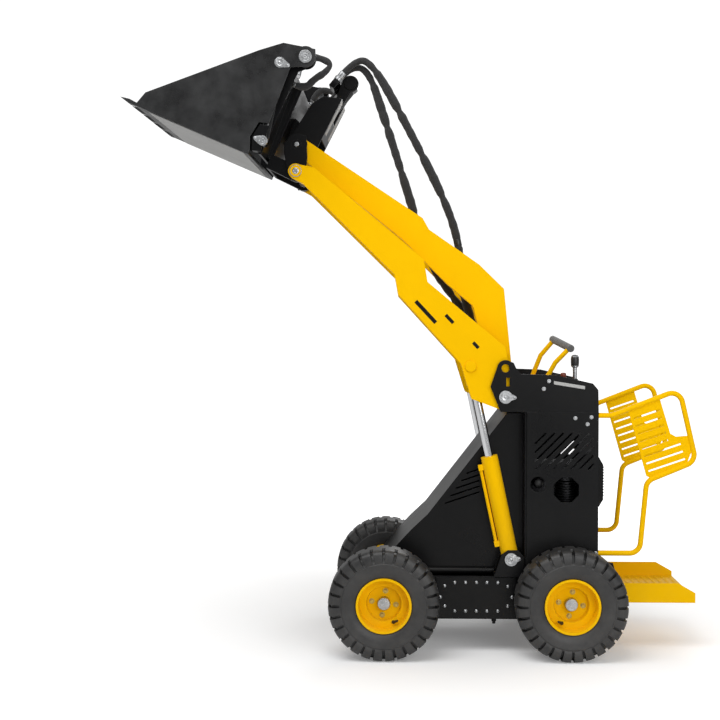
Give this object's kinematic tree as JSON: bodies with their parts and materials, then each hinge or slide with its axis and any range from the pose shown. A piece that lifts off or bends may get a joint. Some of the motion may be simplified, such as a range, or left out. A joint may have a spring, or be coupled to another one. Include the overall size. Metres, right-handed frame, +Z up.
{
  "type": "mini loader",
  "caption": "Stand-on wheeled mini loader with a parallel-lift boom, hydraulic cylinders, toothed clam bucket, slotted side rails and a rear standing platform.",
  "frame": {"origin": "middle of the bounding box, on the ground", "axes": "+X forward, +Y to the machine's left, +Z up"},
  "size_m": [2.3538, 1.033, 2.5005],
  "materials": {
    "yellow_paint": "gloss",
    "black_paint": "satin",
    "tyre": "matte",
    "zinc": "satin",
    "chrome": "gloss",
    "hose_sleeve": "matte",
    "engine": "matte",
    "steel_edge": "satin"
  },
  "bodies": {
    "chassis": {"lower_frame": "black_paint", "chain_cover_left": "black_paint", "chain_cover_right": "black_paint", "tower_frame": "black_paint", "cylinder_foot_left": "black_paint", "cylinder_foot_right": "black_paint", "console_side_left": "black_paint", "console_side_right": "black_paint", "console_top": "black_paint", "housing_side_left": "black_paint", "housing_side_right": "black_paint", "rear_panel": "black_paint", "front_body": "black_paint", "engine_block": "engine", "cooler_guard": "black_paint", "rail_left": "yellow_paint", "rail_right": "yellow_paint", "stand_platform": "yellow_paint", "stand_ears": "black_paint", "control_handle": "yellow_paint", "control_lever": "black_paint", "axle_stubs": "zinc", "frame_pins": "zinc"},
    "boom": {"boom_arm_left": "yellow_paint", "boom_arm_right": "yellow_paint", "boom_cross_tube": "yellow_paint", "boom_pins": "zinc", "hose_upper": "hose_sleeve", "hose_lower": "hose_sleeve"},
    "links": {"level_link_left": "yellow_paint", "level_link_right": "yellow_paint", "link_cross_tube": "yellow_paint"},
    "carrier": {"tilt_carrier": "black_paint", "carrier_pins": "zinc"},
    "hitch": {"hitch_frame": "black_paint", "bucket_back": "black_paint", "bucket_pins": "zinc"},
    "jaw": {"bucket_jaw": "black_paint", "bucket_teeth": "steel_edge"},
    "tilt_barrel": {"tilt_barrel": "black_paint"},
    "tilt_rod": {"tilt_rod": "chrome"},
    "lift_barrels": {"lift_barrel_left": "yellow_paint", "lift_barrel_right": "yellow_paint"},
    "lift_rods": {"lift_rod_left": "chrome", "lift_rod_right": "chrome"},
    "jaw_barrels": {"jaw_barrel_left": "black_paint", "jaw_barrel_right": "black_paint"},
    "jaw_rods": {"jaw_rod_left": "chrome", "jaw_rod_right": "chrome"},
    "wheel_front_left": {"tyre_front_left": "tyre", "rim_front_left": "yellow_paint"},
    "wheel_front_right": {"tyre_front_right": "tyre", "rim_front_right": "yellow_paint"},
    "wheel_rear_left": {"tyre_rear_left": "tyre", "rim_rear_left": "yellow_paint"},
    "wheel_rear_right": {"tyre_rear_right": "tyre", "rim_rear_right": "yellow_paint"}
  },
  "joints": [
    {"name": "lift", "type": "hinge", "parent": "chassis", "child": "boom", "pos_m": [-0.37743, 0, 1.0635], "axis": [0, -1, 0], "range_deg": [-100, 0], "deforming": ["hose_upper", "hose_lower"]},
    {"name": "link_swing", "type": "hinge", "parent": "chassis", "child": "links", "pos_m": [-0.37743, 0, 1.1825], "axis": [0, -1, 0], "range_deg": [-100.5, 0.5]},
    {"name": "carrier_level", "type": "hinge", "parent": "boom", "child": "carrier", "pos_m": [0.49117, 0, 1.99822], "axis": [0, -1, 0], "range_deg": [-0.5, 100.5]},
    {"name": "tilt", "type": "hinge", "parent": "carrier", "child": "hitch", "pos_m": [0.49117, 0, 1.99822], "axis": [0, 1, 0], "range_deg": [0, 65]},
    {"name": "jaw_open", "type": "hinge", "parent": "hitch", "child": "jaw", "pos_m": [0.43569, 0, 2.42859], "axis": [0, -1, 0], "range_deg": [0, 60]},
    {"name": "lift_barrel_swing", "type": "hinge", "parent": "chassis", "child": "lift_barrels", "pos_m": [-0.40293, 0, 0.389], "axis": [0, -1, 0], "range_deg": [-6, 0.5]},
    {"name": "lift_rod_slide", "type": "slide", "parent": "lift_barrels", "child": "lift_rods", "axis": [0.2062, 0, 0.9785], "range_m": [-0.2925, 0.001]},
    {"name": "tilt_barrel_swing", "type": "hinge", "parent": "carrier", "child": "tilt_barrel", "pos_m": [0.27417, 0, 2.40123], "axis": [0, -1, 0], "range_deg": [-0.5, 13]},
    {"name": "tilt_rod_slide", "type": "slide", "parent": "tilt_barrel", "child": "tilt_rod", "axis": [0.6399, 0, -0.7685], "range_m": [-0.001, 0.174]},
    {"name": "jaw_barrel_swing", "type": "hinge", "parent": "hitch", "child": "jaw_barrels", "pos_m": [0.60677, 0, 2.09619], "axis": [0, -1, 0], "range_deg": [-0.2, 0.9]},
    {"name": "jaw_rod_slide", "type": "slide", "parent": "jaw_barrels", "child": "jaw_rods", "axis": [-0.2167, 0, 0.9762], "range_m": [-0.001, 0.1055]},
    {"name": "wheel_front_left", "type": "hinge", "parent": "chassis", "child": "wheel_front_left", "pos_m": [0.12357, 0.4125, 0.227], "axis": [0, 1, 0], "continuous": true},
    {"name": "wheel_front_right", "type": "hinge", "parent": "chassis", "child": "wheel_front_right", "pos_m": [0.12357, -0.4125, 0.227], "axis": [0, 1, 0], "continuous": true},
    {"name": "wheel_rear_left", "type": "hinge", "parent": "chassis", "child": "wheel_rear_left", "pos_m": [-0.63743, 0.4125, 0.227], "axis": [0, 1, 0], "continuous": true},
    {"name": "wheel_rear_right", "type": "hinge", "parent": "chassis", "child": "wheel_rear_right", "pos_m": [-0.63743, -0.4125, 0.227], "axis": [0, 1, 0], "continuous": true}
  ],
  "couplings": [
    {"joint": "link_swing", "follows": "lift", "ratio": 1},
    {"joint": "carrier_level", "follows": "lift", "ratio": -1},
    {"joint": "lift_barrel_swing", "follows": "lift", "ratio": 0.055},
    {"joint": "lift_rod_slide", "follows": "lift", "m_per_rad": 0.1672},
    {"joint": "tilt_barrel_swing", "follows": "tilt", "ratio": 0.19},
    {"joint": "tilt_rod_slide", "follows": "tilt", "m_per_rad": 0.1526},
    {"joint": "jaw_barrel_swing", "follows": "jaw_open", "ratio": 0.01},
    {"joint": "jaw_rod_slide", "follows": "jaw_open", "m_per_rad": 0.0996}
  ]
}
